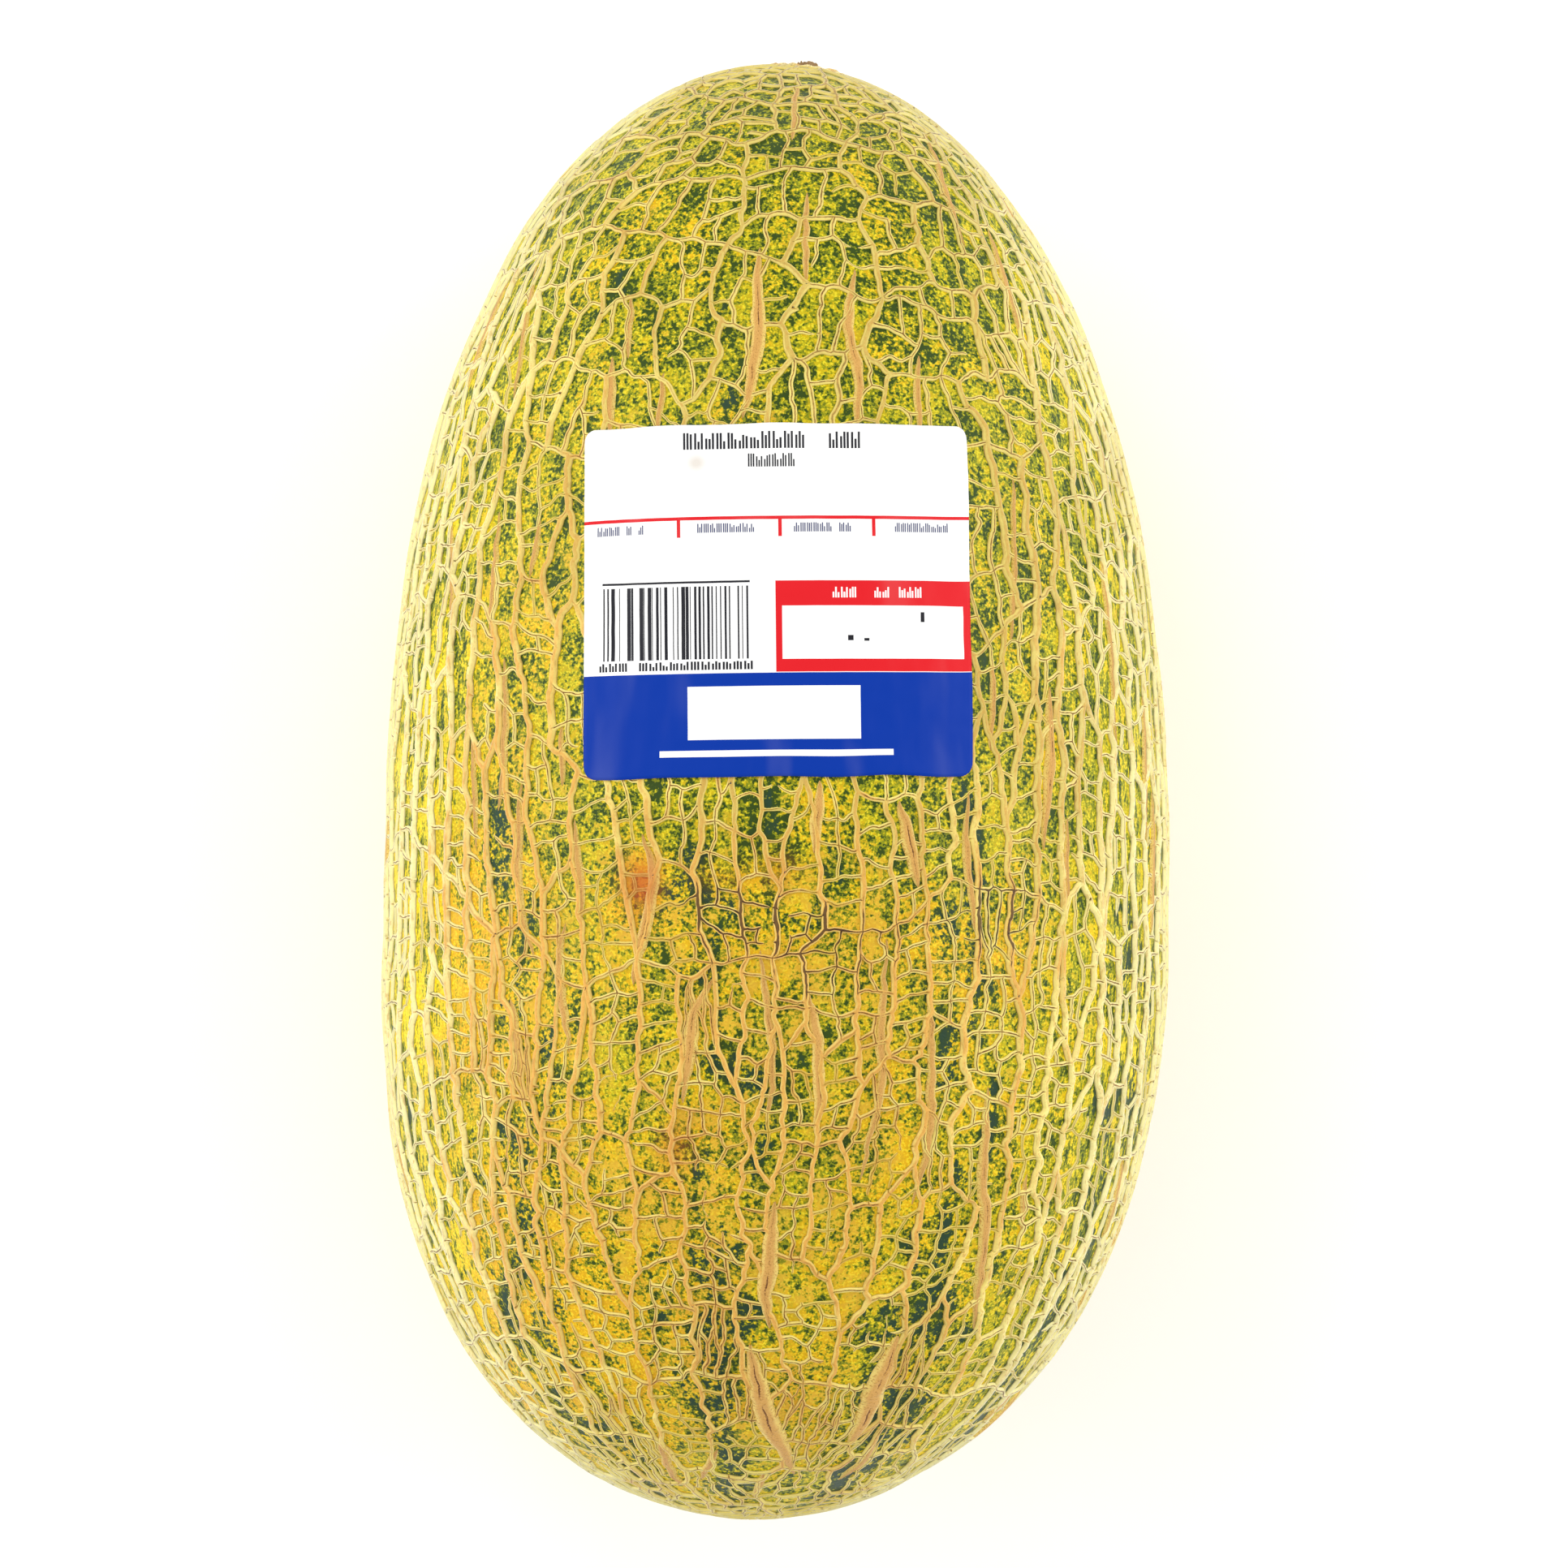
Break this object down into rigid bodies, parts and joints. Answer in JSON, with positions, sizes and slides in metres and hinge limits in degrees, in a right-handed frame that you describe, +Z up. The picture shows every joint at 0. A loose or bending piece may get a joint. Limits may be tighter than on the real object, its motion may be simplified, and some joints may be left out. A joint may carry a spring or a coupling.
{
  "type": "hami melon",
  "caption": "Whole ripe netted melon, long and oval, lying on its side on a small flat ground spot, with a printed paper price label on top.",
  "frame": {"origin": "on the surface that the melon lies on, under the middle of its box", "axes": "+Z up, +Y along the melon towards its narrow stem end, +X across it, to the right in the picture"},
  "size_m": [0.1348, 0.2496, 0.1335],
  "materials": {
    "netted_rind": "waxy yellow and green rind under a dry cork net",
    "label_paper": "smooth coated sticker paper"
  },
  "bodies": {
    "root": {"melon": "netted_rind", "price_label": "label_paper"}
  },
  "joints": []
}
